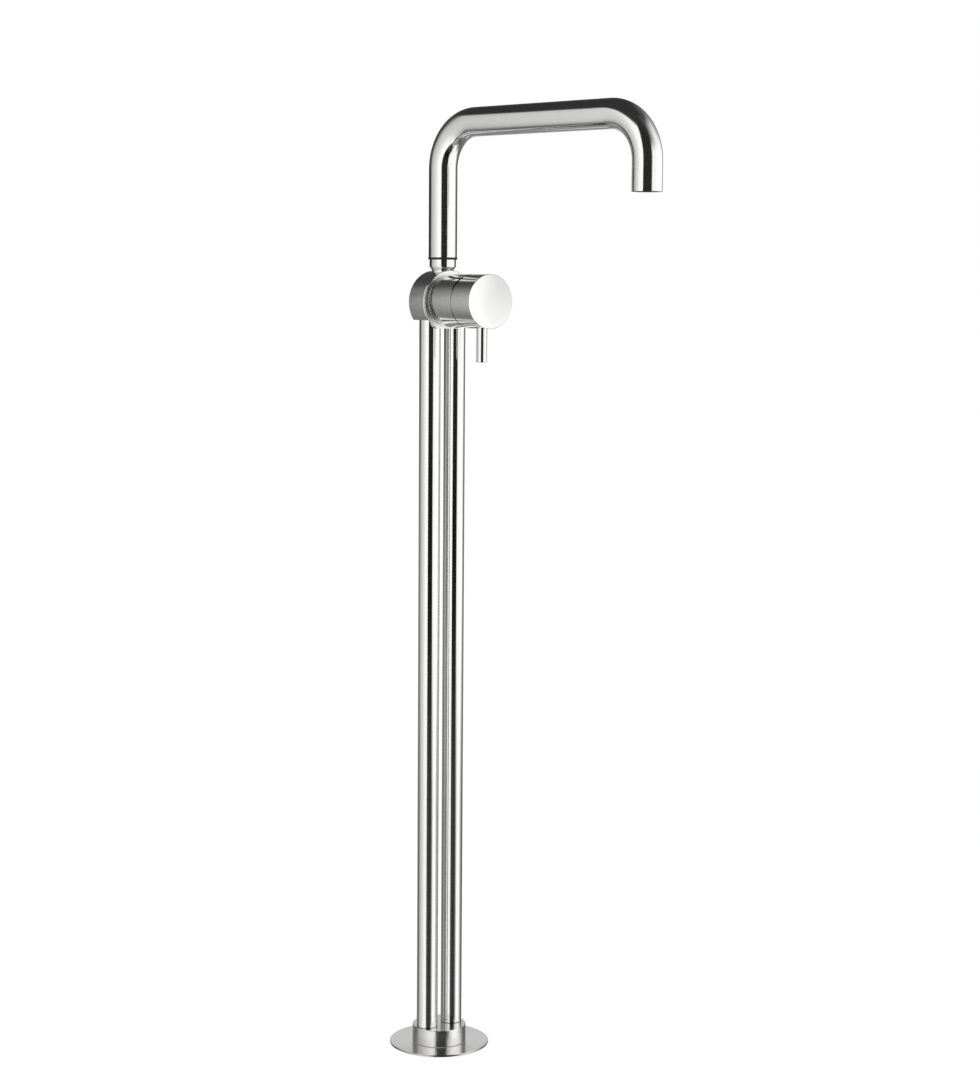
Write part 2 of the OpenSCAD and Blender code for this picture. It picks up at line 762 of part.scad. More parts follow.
// Lever pin under the cap, with the stud that screws in behind the grub screw
module lever_pin() {
    stud_top = grub_end + free_gap;
    color(pale_steel) on_handle(lever_a) {
        difference() {
            rotate([90, 0, 0]) translate([0, 0, lever_root])
                bar(lever_r, lever_reach - lever_root, 0, lever_bevel);
            translate([0, 0, -lever_r - over]) cylinder(r = handle_r + fit_gap, h = lever_d + 2 * over);
        }
        rotate([90, 0, 0]) translate([0, 0, stud_top])
            bar(stud_r, handle_r + over - stud_top, thread_edge, 0);
    }
}

// Neck on top of the body, with the spigot on which the spout turns
module spout_nipple() {
    total = nipple_thread_len + neck_seat + neck_h + spigot_len;
    color(pale_steel) translate([0, 0, neck_bottom - nipple_thread_len]) difference() {
        union() {
            bar(nipple_thread_d / 2, nipple_thread_len + over, thread_edge, 0);
            translate([0, 0, nipple_thread_len]) rotate_extrude() polygon([
                [0, 0], [neck_foot_d / 2, 0], [neck_foot_d / 2, neck_seat],
                [neck_d / 2, neck_seat + neck_flare], [neck_d / 2, neck_seat + neck_h - fine_edge],
                [neck_d / 2 - fine_edge, neck_seat + neck_h], [0, neck_seat + neck_h]
            ]);
            translate([0, 0, total - spigot_len - over]) bar(spigot_r, spigot_len + over, 0, lead_in);
        }
        translate([0, 0, -eps]) cylinder(d = nipple_bore_d, h = total + 2 * eps);
        for (z = spout_seal_z) translate([0, 0, total - spigot_len + z]) cord_groove(spigot_r);
        translate([0, 0, total - spigot_len + slide_t + slide_gap + stop_z - stop_groove_h / 2])
            rotate([0, 0, 90 - groove_half]) rotate_extrude(angle = 2 * groove_half)
                translate([groove_floor_r, 0]) square([stop_groove + over, stop_groove_h]);
    }
}

module spout_orings() {
    color(black) for (z = spout_seal_z)
        translate([0, 0, neck_top + z]) cord_ring(cord_ring_r(spigot_r), cord_r);
}

module slide_ring() {
    color(black) translate([0, 0, neck_top])
        tube(tube_r + slide_lip, spigot_r + fit_gap, slide_t, slide_bevel, slide_bevel);
}

// The bent line of the spout: riser, bend, run, bend and drop, as one solid bar of radius r
module spout_line(r) {
    translate([0, 0, riser_z]) cylinder(r = r, h = riser_len);
    translate([0, -bend_r, run_z - bend_r]) rotate([90, 0, 90])
        rotate_extrude(angle = 90) translate([bend_r, 0]) circle(r = r);
    translate([0, -bend_r, run_z]) rotate([90, 0, 0]) cylinder(r = r, h = run_len);
    translate([0, -bend_r - run_len, run_z - bend_r]) rotate([90, 0, 90])
        rotate([0, 0, 90]) rotate_extrude(angle = 90) translate([bend_r, 0]) circle(r = r);
    translate([0, -spout_reach, outlet_z]) cylinder(r = r, h = drop_len);
}

module spout_tube() {
    color(pale_steel) on_spout() difference() {
        spout_line(tube_r);
        spout_line(tube_bore_r);
        translate([0, 0, riser_z - eps]) cylinder(r = tube_bore_r, h = 1);
        translate([0, -spout_reach, outlet_z - eps]) cylinder(r = tube_bore_r, h = 1);
        translate([0, 0, riser_z + stop_z]) rotate([-90, 0, 0])
            cylinder(r = stop_r + free_gap, h = tube_r + over);
    }
}

// Turned socket brazed into the riser's foot; it runs on the nipple's spigot
module spout_socket() {
    color(brass) on_spout() translate([0, 0, riser_z]) difference() {
        tube(socket_r, socket_bore_r, socket_len, 0, thread_edge);
        translate([0, 0, stop_z]) rotate([-90, 0, 0]) cylinder(r = stop_r + fit_gap, h = tube_r);
    }
}

// Grub screw at the back of the riser; its tip runs in the spigot's groove
module stop_screw() {
    color(steel) on_spout() translate([0, 0, riser_z + stop_z]) rotate([-90, 0, 0]) difference() {
        union() {
            translate([0, 0, stop_tip_in]) cylinder(r = stop_tip_r, h = stop_head_r - stop_tip_in - over);
            translate([0, 0, stop_step_r]) bar(stop_r, stop_head_r - stop_step_r, broken_edge, broken_edge);
        }
        translate([0, 0, stop_head_r - stop_socket_h])
            cylinder(d = stop_socket_d, h = stop_socket_h + eps, $fn = 6);
    }
}

module on_outlet(z) {
    on_spout() translate([0, -spout_reach, z]) children();
}

module aerator_seat() {
    color(brass) on_outlet(aerator_seat_z)
        tube(socket_r, aerator_r + fit_gap, aerator_len + washer_t + seat_step, broken_edge, broken_edge);
}

// Cup with a drilled face that breaks the water into jets
module aerator() {
    color(black) on_outlet(aerator_z) difference() {
        bar(aerator_r, aerator_len, soft_edge, 0);
        translate([0, 0, grille_t]) cylinder(r = aerator_r - aerator_wall, h = aerator_len);
        for (ring = [0 : jet_rings]) for (i = [1 : jets_in(ring)])
            rotate([0, 0, i * 360 / jets_in(ring)]) translate([ring * jet_pitch, 0, -eps])
                cylinder(r = jet_r, h = grille_t + 2 * eps);
    }
}

module aerator_washer() {
    color(black) on_outlet(aerator_z + aerator_len)
        tube(aerator_r - fit_gap, aerator_r - washer_w, washer_t);
}

floor_plate();
floor_seal();
plate_screws();
base_collar();
collar_seal();
supply_pipe(-1);  // hot_pipe
supply_pipe(1);  // cold_pipe
inlet_bush(-1);  // hot_inlet
inlet_bush(1);  // cold_inlet
pipe_union(-1);  // hot_union
pipe_union(1);  // cold_union
union_orings();
valve_body();
face_ring();
sleeve();
cartridge_base();
base_seals();
cartridge_housing();
fixed_disc();
moving_disc();
disc_carrier();
turning_guide();
pivot_pin();
spindle();
retaining_nut();
handle_cap();
grub_screw();
lever_pin();
spout_nipple();
spout_orings();
slide_ring();
spout_tube();
spout_socket();
stop_screw();
aerator_seat();
aerator();
aerator_washer();
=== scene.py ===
"""A floor-standing basin mixer in brushed stainless steel, in a white studio.

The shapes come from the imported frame. This script gives every node its finish, and adds
the studio, the floor and the camera. Metres, Z up; the handle points along -Y.
"""

import math

import bpy
from mathutils import Matrix, Vector


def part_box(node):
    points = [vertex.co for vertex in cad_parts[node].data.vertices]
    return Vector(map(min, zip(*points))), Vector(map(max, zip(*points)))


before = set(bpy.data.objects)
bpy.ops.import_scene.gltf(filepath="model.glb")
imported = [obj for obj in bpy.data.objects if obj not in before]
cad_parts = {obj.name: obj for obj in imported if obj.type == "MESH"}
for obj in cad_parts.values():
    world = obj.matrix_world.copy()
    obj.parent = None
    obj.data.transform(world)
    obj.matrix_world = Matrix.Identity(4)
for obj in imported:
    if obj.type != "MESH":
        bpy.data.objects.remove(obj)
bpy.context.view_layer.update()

# Camera: which way it looks from, how far away and how high, and its small turns.
VIEW_AZIMUTH = math.radians(-35.04)
CAMERA_DISTANCE = 2.5506
CAMERA_HEIGHT = 0.8765
CAMERA_YAW = 0.0216308
CAMERA_PITCH = 0.112935
CAMERA_ROLL = 0.007256
SENSOR = 36.0
LENS = 75.326

# The card wall: a glowing ring round the fitting, which only the metal mirrors. Levels are linear.
WALL_RADIUS = 0.80
WALL_LOW = -1.2
WALL_HIGH = 3.0
WALL_STEPS = 180
CARD_LEVEL = 1.25
OVERHEAD_LEVEL = 0.035
UNDER_LEVEL = 0.10

# The wall's brightness round the fitting, as a share of CARD_LEVEL, in four rows from the spout's
# bends down to the floor. Azimuth is in degrees: 0 is towards the camera, and it grows to the
# picture's right. The dark gap in front is where the camera stands.
TOP_CARDS = (
    (-180, 0.06), (-150, 0.045), (-134, 0.05), (-127, 0.06), (-121, 0.10), (-116.5, 0.15),
    (-112.5, 0.185), (-109.5, 0.225), (-107, 0.31), (-100, 0.41), (-87, 0.53), (-72, 0.59),
    (-62, 0.69), (-53, 0.77), (-45, 0.86), (-36, 0.95), (-15.5, 0.95), (-12.5, 0.02), (34, 0.02),
    (38, 0.08), (50, 0.31), (60, 0.60), (75, 0.84), (90, 0.78), (104, 0.42), (117, 0.36),
    (129, 0.20), (150, 0.045), (180, 0.06),
)
HIGH_CARDS = (
    (-180, 0.06), (-150, 0.02), (-114, 0.03), (-110, 0.22), (-107, 0.31), (-100, 0.41),
    (-87, 0.53), (-72, 0.59), (-62, 0.69), (-53, 0.77), (-45, 0.86), (-36, 0.95), (-15.5, 0.95),
    (-12.5, 0.02), (34, 0.02), (38, 0.85), (52, 0.90), (64, 0.99), (106, 0.99), (116, 0.60),
    (126, 0.15), (150, 0.04), (180, 0.06),
)
MID_CARDS = (
    (-180, 0.19), (-160, 0.19), (-145, 0.19), (-125, 0.17), (-114, 0.21), (-109, 0.29),
    (-100, 0.41), (-87, 0.53), (-72, 0.59), (-62, 0.69), (-53, 0.77), (-45, 0.86), (-36, 0.95),
    (-17, 0.95), (-14, 0.008), (32, 0.008), (36, 0.85), (52, 0.90), (64, 0.99), (102, 0.99),
    (112, 0.55), (122, 0.16), (150, 0.15), (180, 0.19),
)
LOW_CARDS = (
    (-180, 0.22), (-160, 0.24), (-145, 0.20), (-130, 0.14), (-120, 0.09), (-114, 0.11),
    (-107, 0.22), (-100, 0.34), (-87, 0.48), (-72, 0.56), (-62, 0.66), (-53, 0.74), (-45, 0.82),
    (-36, 0.88), (-17, 0.88), (-14, 0.06), (0, 0.04), (32, 0.03), (42, 0.30), (50, 0.74),
    (62, 0.96), (82, 0.96), (94, 0.62), (108, 0.32), (124, 0.09), (150, 0.14), (180, 0.22),
)

# Heights between which one row gives way to the next, and the top row to the dark overhead.
# Above the high row, the left side and the right side differ, and SIDE_CHANGE is where they meet.
LOW_EDGE = (0.05, 0.45)
HIGH_EDGE = (0.50, 0.90)
LEFT_UPPER_EDGE = (1.00, 1.15)
RIGHT_UPPER_EDGE = (1.10, 1.38)
LEFT_TOP_EDGE = (1.50, 1.70)
RIGHT_TOP_EDGE = (1.30, 2.20)
SIDE_CHANGE = (-14.0, 32.0)

# Over the right card the dark is a little lighter, between these azimuths.
RIGHT_OVERHEAD_LEVEL = 0.08
RIGHT_OVERHEAD_START = (5.0, 55.0)
RIGHT_OVERHEAD_END = (120.0, 150.0)

# Two paler cards right behind the fitting: the floor plate mirrors the low one, and the spout's
# underside the high one. Each has where it starts by azimuth, its foot, its top and its level.
PLATE_CARD = ((167.0, 173.0), (0.08, 0.14), (0.32, 0.37), 0.56)
RUN_CARD = ((150.0, 165.0), (0.60, 0.70), (1.05, 1.20), 0.36)

# A softer part of the right card, which the handle's flat front mirrors: its share at each
# azimuth, and the heights over which it comes in and goes out.
SOFT_PART = (
    (57, 1.0), (60, 0.62), (64.5, 0.62), (65.8, 0.63), (67.2, 0.68), (67.9, 0.73), (68.4, 0.79),
    (68.9, 0.85), (69.8, 0.91), (71.2, 0.97), (73, 1.0),
)
SOFT_LOW = (0.76, 0.79)
SOFT_HIGH = (0.815, 0.930)

# Floor, which shows white at its glow plus the light on its colour, and takes a faint shadow.
FLOOR_DROP = 0.0004
FLOOR_HALF = 30.0
FLOOR_GLOW = 0.71
FLOOR_COLOUR = 0.32

# Lamp.
LAMP_SIZE = 2.4
LAMP_POWER = 6.0
LAMP_PLACE = (-0.6, -0.9, 3.0)
LAMP_TARGET = (0.0, 0.0, 0.5)

# Lines of the spout, as in the part's source.
SPOUT_TURN = math.radians(9.7)
RUN_HEIGHT = 1.0529
BEND_RADIUS = 0.050
REACH = 0.297
OUTLET_HEIGHT = 0.9714

# Steel colours.
BRIGHT_STEEL = (0.835, 0.832, 0.826)
COLLAR_STEEL = (0.775, 0.772, 0.766)
DULL_STEEL = (0.62, 0.62, 0.61)

# Brush lines on the steel: how many go to the metre, how deep they are, how fast they drift along
# themselves, and how much they change the roughness either way.
FINE_LINES = 3600.0
FINE_DEPTH = 0.0000006
FINE_ROUGH = 0.015
BROAD_LINES = 620.0
BROAD_DEPTH = 0.0000008
DRIFT = (34.0, 13.0)
SWING = (31.0, -17.0)

# A slow cloud over the steel, and hairline scratches in it.
CLOUD_SIZE = 46.0
CLOUD_TONE = (0.985, 1.015)
CLOUD_ROUGH = (-0.012, 0.016)
SCRATCH_LINES = 1500.0
SCRATCH_DRIFT = 90.0
SCRATCH_STEP = (0.68, 0.74)
SCRATCH_TONE = 0.02
SCRATCH_ROUGH = 0.03

# Worn rims: how far in they reach, how unevenly, and how much brighter and smoother they are.
RIM_WIDTH = 0.0014
RIM_CLOUD = (0.5, 1.0)
RIM_BRIGHT = 0.05
RIM_SMOOTH = 0.05

# The handle: its axis, and its seam. Inside SEAM_RADIUS and SEAM_HALF of its middle, shade is painted on
# the steel.
HANDLE_HEIGHT = 0.857
SEAM_RADIUS = 0.0294
SEAM_SOFTNESS = 0.0002
SEAM_HALF = 0.006
SEAM_FADE = 1.2
SEAM_SHADE = 0.04

# The handle's front, which was turned slightly hollow and finer than its side.
DISH_CURVE = 1.0
DISH_EDGE = 0.0003
FACE_DEPTH = 0.0002
FACE_ROUGH = 0.08

# Stretches along an axis that are darker or lighter than the rest. Lines of painted shade at the seam's
# two rims, and painted light on the skin of sleeve and cap:
ON_RIM = 0.0001
SEAM_RIM = 0.0003
SEAM_RIM_SHADE = 0.25
SKIN_START = (0.002, 0.001)
SKIN_PAINTED_LIGHT = 1.07
# painted shade at the supply tubes' feet, from the collar's top:
FOOT_LINE = (-0.001, 0.0, 0.0005, 0.0010)
FOOT_SHADE = 0.35
# the spout's end, which is darker, and painted shade on the plate's cut edge; neither stretch has an
# end:
NO_END = (5.0, 6.0)
SAWN_EDGE = 0.0002
SAWN_TONE = 0.3
CUT_EDGE = 0.0001
CUT_EDGE_SHADE = 0.6

# Turned brass: tool rings to the metre, their depth and drift, the film's size, and what they do
# to the roughness.
BRASS_LIGHT = (0.84, 0.66, 0.34)
BRASS_DARK = (0.68, 0.49, 0.22)
BRASS_ROUGH = 0.30
RING_LINES = 2600.0
RING_DRIFT = 60.0
RING_DEPTH = 0.000004
RING_ROUGH = (-0.03, 0.05)
FILM_SIZE = 120.0
FILM_ROUGH = (0.0, 0.08)

# Rubber, plastic and ceramic: light and dark colour, roughness, pores to the metre, their depth,
# and how much clear coat and how much light coming through.
MOULDED = {
    "black_rubber": ((0.032, 0.032, 0.033), (0.018, 0.018, 0.019), 0.62, 3200.0, 0.000006, 0.0, 0.0),
    "clear_rubber": ((0.90, 0.90, 0.88), (0.84, 0.84, 0.82), 0.12, 2400.0, 0.000001, 0.0, 0.65),
    "black_plastic": ((0.014, 0.014, 0.015), (0.008, 0.008, 0.008), 0.62, 2600.0, 0.000004, 0.0, 0.0),
    "grey_plastic": ((0.30, 0.30, 0.31), (0.24, 0.24, 0.25), 0.42, 2200.0, 0.000003, 0.0, 0.0),
    "white_plastic": ((0.80, 0.80, 0.78), (0.70, 0.70, 0.68), 0.40, 2200.0, 0.000003, 0.0, 0.0),
    "ceramic": ((0.86, 0.84, 0.79), (0.78, 0.76, 0.71), 0.18, 4200.0, 0.000001, 0.3, 0.0),
}
MOTTLE_SIZE = 90.0
MOTTLE_ROUGH = 0.03
PORE_ROUGH = 0.05

# Sockets of a Mix node: its factor, and its two numbers or two colours.
MIX_FACTOR = 0
MIX_NUMBERS = (2, 3)
MIX_COLOURS = (6, 7)

# Noise lies mostly between these two levels.
NOISE_LOW = 0.25
NOISE_HIGH = 0.75


class Net:
    """Makes the nodes of one material or world."""

    def __init__(self, tree):
        self.tree = tree
        self.tree.nodes.clear()

    def node(self, kind, **settings):
        made = self.tree.nodes.new(kind)
        for name, value in settings.items():
            setattr(made, name, value)
        return made

    def link(self, output, socket):
        self.tree.links.new(output, socket)

    def put(self, socket, value):
        """Links a socket's value, or sets it where value is a plain number or colour."""
        if isinstance(value, bpy.types.NodeSocket):
            self.link(value, socket)
        else:
            socket.default_value = value

    def math(self, operation, a, b=0.0):
        made = self.node("ShaderNodeMath", operation=operation)
        for socket, value in zip(made.inputs, (a, b)):
            self.put(socket, value)
        return made.outputs[0]

    def add(self, a, b):
        return self.math("ADD", a, b)

    def less(self, a, b):
        return self.math("SUBTRACT", a, b)

    def times(self, a, b):
        return self.math("MULTIPLY", a, b)

    def dot(self, vector, direction):
        made = self.node("ShaderNodeVectorMath", operation="DOT_PRODUCT")
        self.put(made.inputs[0], vector)
        made.inputs[1].default_value = direction
        return made.outputs["Value"]

    def split(self, vector):
        made = self.node("ShaderNodeSeparateXYZ")
        self.put(made.inputs[0], vector)
        return made.outputs

    def join(self, x, y, z):
        made = self.node("ShaderNodeCombineXYZ")
        for socket, value in zip(made.inputs, (x, y, z)):
            self.put(socket, value)
        return made.outputs[0]

    def map_range(self, value, numbers, **settings):
        """value mapped by numbers, which are from low, from high, to low and to high."""
        made = self.node("ShaderNodeMapRange", **settings)
        for name, number in zip(("From Min", "From Max", "To Min", "To Max"), numbers):
            self.put(made.inputs[name], number)
        self.put(made.inputs["Value"], value)
        return made.outputs["Result"]

    def smooth(self, value, low, high, to_low=0.0, to_high=1.0):
        """A soft step of value from low to high."""
        return self.map_range(value, (low, high, to_low, to_high), interpolation_type="SMOOTHSTEP")

    def window(self, value, rise, fall):
        """1 between rise and fall, which are each (from, to), and 0 outside them."""
        return self.times(self.smooth(value, *rise), self.smooth(value, *fall, 1.0, 0.0))

    def spread(self, value, low, high):
        """Noise, which lies about 0.5, spread over low to high."""
        return self.map_range(value, (NOISE_LOW, NOISE_HIGH, low, high), clamp=True)

    def mix(self, factor, a, b):
        made = self.node("ShaderNodeMix", data_type="FLOAT")
        for number, value in zip((MIX_FACTOR, *MIX_NUMBERS), (factor, a, b)):
            self.put(made.inputs[number], value)
        return made.outputs[0]

    def tint(self, factor, a, b):
        """A mix of two colours, each three numbers."""
        made = self.node("ShaderNodeMix", data_type="RGBA")
        self.put(made.inputs[MIX_FACTOR], factor)
        for number, colour in zip(MIX_COLOURS, (a, b)):
            made.inputs[number].default_value = (*colour, 1.0)
        return made.outputs[2]

    def noise(self, vector, scale=1.0, detail=2.0, roughness=0.5):
        made = self.node("ShaderNodeTexNoise")
        self.put(made.inputs["Vector"], vector)
        made.inputs["Scale"].default_value = scale
        made.inputs["Detail"].default_value = detail
        made.inputs["Roughness"].default_value = roughness
        return made.outputs["Fac"]

    def ramp(self, value, stops):
        """A grey ramp with straight lines between stops (place, level)."""
        made = self.node("ShaderNodeValToRGB")
        elements = made.color_ramp.elements
        while len(elements) > 1:
            elements.remove(elements[0])
        elements[0].position = stops[0][0]
        elements[0].color = (stops[0][1],) * 3 + (1.0,)
        for place, level in stops[1:]:
            element = elements.new(place)
            element.color = (level,) * 3 + (1.0,)
        self.put(made.inputs[0], value)
        return made.outputs[0]

    def bump(self, height, depth, normal=None):
        made = self.node("ShaderNodeBump")
        made.inputs["Strength"].default_value = 1.0
        made.inputs["Distance"].default_value = depth
        self.put(made.inputs["Height"], height)
        if normal is not None:
            self.put(made.inputs["Normal"], normal)
        return made.outputs[0]


def new_material(name):
    """A material with its nodes, its shader and its object coordinates."""
    material = bpy.data.materials.new("finish_" + name)
    material.use_nodes = True
    net = Net(material.node_tree)
    shader = net.node("ShaderNodeBsdfPrincipled")
    out = net.node("ShaderNodeOutputMaterial")
    net.link(shader.outputs[0], out.inputs[0])
    place = net.node("ShaderNodeTexCoord").outputs["Object"]
    return material, net, shader, place


def spout_length():
    """The centre line's length if both its legs went down to the floor."""
    bends = BEND_RADIUS * math.pi
    return 2 * (RUN_HEIGHT - BEND_RADIUS) + bends + REACH - 2 * BEND_RADIUS


def spout_path(net, place):
    """Distance along the spout's centre line, and the line's direction in object space."""
    heading = (math.sin(SPOUT_TURN), -math.cos(SPOUT_TURN), 0.0)
    along = net.dot(place, heading)
    height = net.split(place)[2]
    bend_start = RUN_HEIGHT - BEND_RADIUS
    rise = net.math("MAXIMUM", net.less(height, bend_start), 0.0)
    first = net.math("MAXIMUM", net.less(BEND_RADIUS, along), 0.0)
    last = net.math("MAXIMUM", net.less(along, REACH - BEND_RADIUS), 0.0)

    def walked(side, run):
        """Length walked up one leg, round its bend and along the run."""
        turned = net.times(net.math("ARCTAN2", rise, side), BEND_RADIUS)
        climbed = net.math("MINIMUM", height, bend_start)
        return net.add(net.add(climbed, turned), net.math("MAXIMUM", run, 0.0))

    up = walked(first, net.less(along, BEND_RADIUS))
    down = walked(last, net.less(REACH - BEND_RADIUS, along))
    far = net.math("GREATER_THAN", along, REACH / 2)
    length = net.mix(far, up, net.less(spout_length(), down))
    upward = net.less(first, last)
    direction = net.join(net.times(rise, heading[0]), net.times(rise, heading[1]), upward)
    return length, direction


def axis_and_lay(net, place, lay):
    """The coordinate that the brush lines cross, and the direction that they spread light in."""
    x, y, z = net.split(place)
    if lay == "upright":
        return z, net.join(0.0, 0.0, 1.0)
    if lay == "handle":
        return y, net.join(0.0, 1.0, 0.0)
    if lay == "spout":
        return spout_path(net, place)
    radius = net.math("SQRT", net.add(net.times(x, x), net.times(y, y)))
    return radius, net.join(x, y, 0.0)


def brush_marks(net, place, across):
    """Fine and broad brush lines, a slow cloud, and a few hairline scratches.

    The lines cross `across`; the slow drift along each line comes from the other coordinates.
    """
    x, y, z = net.split(place)
    drift = net.add(net.times(x, DRIFT[0]), net.times(z, DRIFT[1]))
    swing = net.add(net.times(y, SWING[0]), net.times(z, SWING[1]))
    fine = net.noise(net.join(drift, swing, net.times(across, FINE_LINES)), detail=3.0, roughness=0.6)
    broad = net.noise(net.join(drift, swing, net.times(across, BROAD_LINES)))
    cloud = net.noise(place, CLOUD_SIZE, detail=3.0, roughness=0.55)
    x_drift, y_drift = net.times(x, SCRATCH_DRIFT), net.times(y, SCRATCH_DRIFT)
    scratched = net.join(x_drift, y_drift, net.times(across, SCRATCH_LINES))
    scratch = net.smooth(net.noise(scratched, detail=1.0), *SCRATCH_STEP)
    return fine, broad, cloud, scratch


def handle_radius_squared(net, place):
    """The squared distance from the handle's axis."""
    x, _, z = net.split(place)
    off_axis = net.less(z, HANDLE_HEIGHT)
    return net.add(net.times(x, x), net.times(off_axis, off_axis))


def seam_painted_shade(net, place, across, seam_place):
    """Painted shade inside the handle's joint, under its outer skin."""
    radius = net.math("SQRT", handle_radius_squared(net, place))
    inside = net.smooth(radius, SEAM_RADIUS - SEAM_SOFTNESS, SEAM_RADIUS, 1.0, 0.0)
    away = net.math("ABSOLUTE", net.less(across, seam_place))
    close = net.smooth(away, SEAM_HALF, SEAM_HALF * SEAM_FADE, 1.0, 0.0)
    return net.mix(net.times(inside, close), 1.0, SEAM_SHADE)


def rim_wear(net, across, ends, cloud):
    """Where a rim is handled and wiped, and so is a little smoother and brighter."""
    near = net.math("MINIMUM", net.less(across, ends[0]), net.less(ends[1], across))
    return net.times(net.smooth(near, 0.0, RIM_WIDTH, 1.0, 0.0), net.spread(cloud, *RIM_CLOUD))


def steel_tone(net, marks, streak, worn):
    """The steel's own brightness, about 1."""
    _, broad, cloud, scratch = marks
    tone = net.times(net.spread(broad, 1.0 - streak, 1.0 + streak), net.spread(cloud, *CLOUD_TONE))
    tone = net.less(tone, net.times(scratch, SCRATCH_TONE))
    if worn is not None:
        tone = net.add(tone, net.times(worn, RIM_BRIGHT))
    return tone


def steel_roughness(net, marks, rough, worn):
    fine, _, cloud, scratch = marks
    lined = net.spread(fine, rough - FINE_ROUGH, rough + FINE_ROUGH)
    roughness = net.add(lined, net.spread(cloud, *CLOUD_ROUGH))
    roughness = net.add(roughness, net.times(scratch, SCRATCH_ROUGH))
    if worn is not None:
        roughness = net.less(roughness, net.times(worn, RIM_SMOOTH))
    return roughness


def toned_stretches(net, across, tone, stretches):
    """tone times the tone of each stretch, painted darker or lighter; they are given as (start, full,
    end, gone, tone).
    """
    for start, full, end, gone, stretch_tone in stretches:
        stretch = net.window(across, (start, full), (end, gone))
        tone = net.times(tone, net.mix(stretch, 1.0, stretch_tone))
    return tone


def brush_gloss(net, shader, direction, spread):
    """Stretches highlights across the brush lines, the same way at every pose."""
    shader.inputs["Metallic"].default_value = 1.0
    shader.inputs["Anisotropic"].default_value = spread
    turned = net.node("ShaderNodeVectorTransform", vector_type="VECTOR", convert_from="OBJECT",
                      convert_to="WORLD")
    net.put(turned.inputs[0], direction)
    net.put(shader.inputs["Tangent"], turned.outputs[0])


def steel(name, lay, rough, colour=BRIGHT_STEEL, streak=0.02, spread=0.45, ends=None, seam=None,
          dish=None, stretches=()):
    """Brushed stainless steel. lay is upright, handle, spout or disc: what the brush went round.

    streak is how far the lines differ in tone, and spread how far they stretch a highlight.
    ends are the two rims along that axis. seam is the middle of a joint on it, inside which shade is
    painted. dish is where a face that was turned very slightly hollow ends. stretches are parts of the
    axis painted darker or lighter than the rest, most of them as painted shade or painted light.
    """
    material, net, shader, place = new_material(name)
    across, direction = axis_and_lay(net, place, lay)
    marks = brush_marks(net, place, across)
    fine, broad, cloud, _ = marks
    worn = None if ends is None else rim_wear(net, across, ends, cloud)
    tone = toned_stretches(net, across, steel_tone(net, marks, streak, worn), stretches)
    roughness = steel_roughness(net, marks, rough, worn)
    normal = net.bump(broad, BROAD_DEPTH, net.bump(fine, FINE_DEPTH))
    # Painted shade inside the handle's joint.
    if seam is not None:
        tone = net.times(tone, seam_painted_shade(net, place, across, seam))
    if dish is not None:
        on_face = net.smooth(across, dish, dish + DISH_EDGE, 1.0, 0.0)
        roughness = net.less(roughness, net.times(on_face, rough - FACE_ROUGH))
        hollow = net.times(handle_radius_squared(net, place), DISH_CURVE)
        normal = net.bump(net.times(hollow, on_face), 1.0, normal)
    toned = net.node("ShaderNodeVectorMath", operation="SCALE")
    toned.inputs[0].default_value = colour
    net.put(toned.inputs["Scale"], tone)
    net.put(shader.inputs["Base Color"], toned.outputs[0])
    net.put(shader.inputs["Roughness"], roughness)
    net.put(shader.inputs["Normal"], normal)
    brush_gloss(net, shader, direction, spread)
    return material


def turned_metal(name, light, dark, rough):
    """Machined metal, with fine tool rings and a cloudy film."""
    material, net, shader, place = new_material(name)
    x, y, z = net.split(place)
    x_drift, y_drift = net.times(x, RING_DRIFT), net.times(y, RING_DRIFT)
    rings = net.noise(net.join(x_drift, y_drift, net.times(z, RING_LINES)))
    film = net.noise(place, FILM_SIZE, detail=4.0, roughness=0.6)
    net.put(shader.inputs["Base Color"], net.tint(net.spread(film, 0.0, 1.0), dark, light))
    smoother, rougher = RING_ROUGH
    ringed = net.spread(rings, rough + smoother, rough + rougher)
    net.put(shader.inputs["Roughness"], net.add(ringed, net.spread(film, *FILM_ROUGH)))
    shader.inputs["Metallic"].default_value = 1.0
    net.put(shader.inputs["Normal"], net.bump(rings, RING_DEPTH))
    return material


def moulded(name, light, dark, rough, pore, depth, coat, clear):
    """Rubber, plastic or ceramic: a soft mottle and fine pores."""
    material, net, shader, place = new_material(name)
    mottle = net.noise(place, MOTTLE_SIZE, detail=4.0, roughness=0.6)
    pores = net.noise(place, pore)
    net.put(shader.inputs["Base Color"], net.tint(net.spread(mottle, 0.0, 1.0), dark, light))
    pored = net.spread(pores, rough - PORE_ROUGH, rough + PORE_ROUGH)
    mottled = net.spread(mottle, -MOTTLE_ROUGH, MOTTLE_ROUGH)
    net.put(shader.inputs["Roughness"], net.add(pored, mottled))
    shader.inputs["Coat Weight"].default_value = coat
    shader.inputs["Transmission Weight"].default_value = clear
    net.put(shader.inputs["Normal"], net.bump(pores, depth))
    return material


def ends_of(node, axis):
    """A node's two ends along an axis."""
    low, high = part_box(node)
    return low[axis], high[axis]


def from_edge(edge, softness, tone):
    """A toned stretch that begins softly just before edge and has no end."""
    return (edge - 2 * softness, edge - softness, *NO_END, tone)


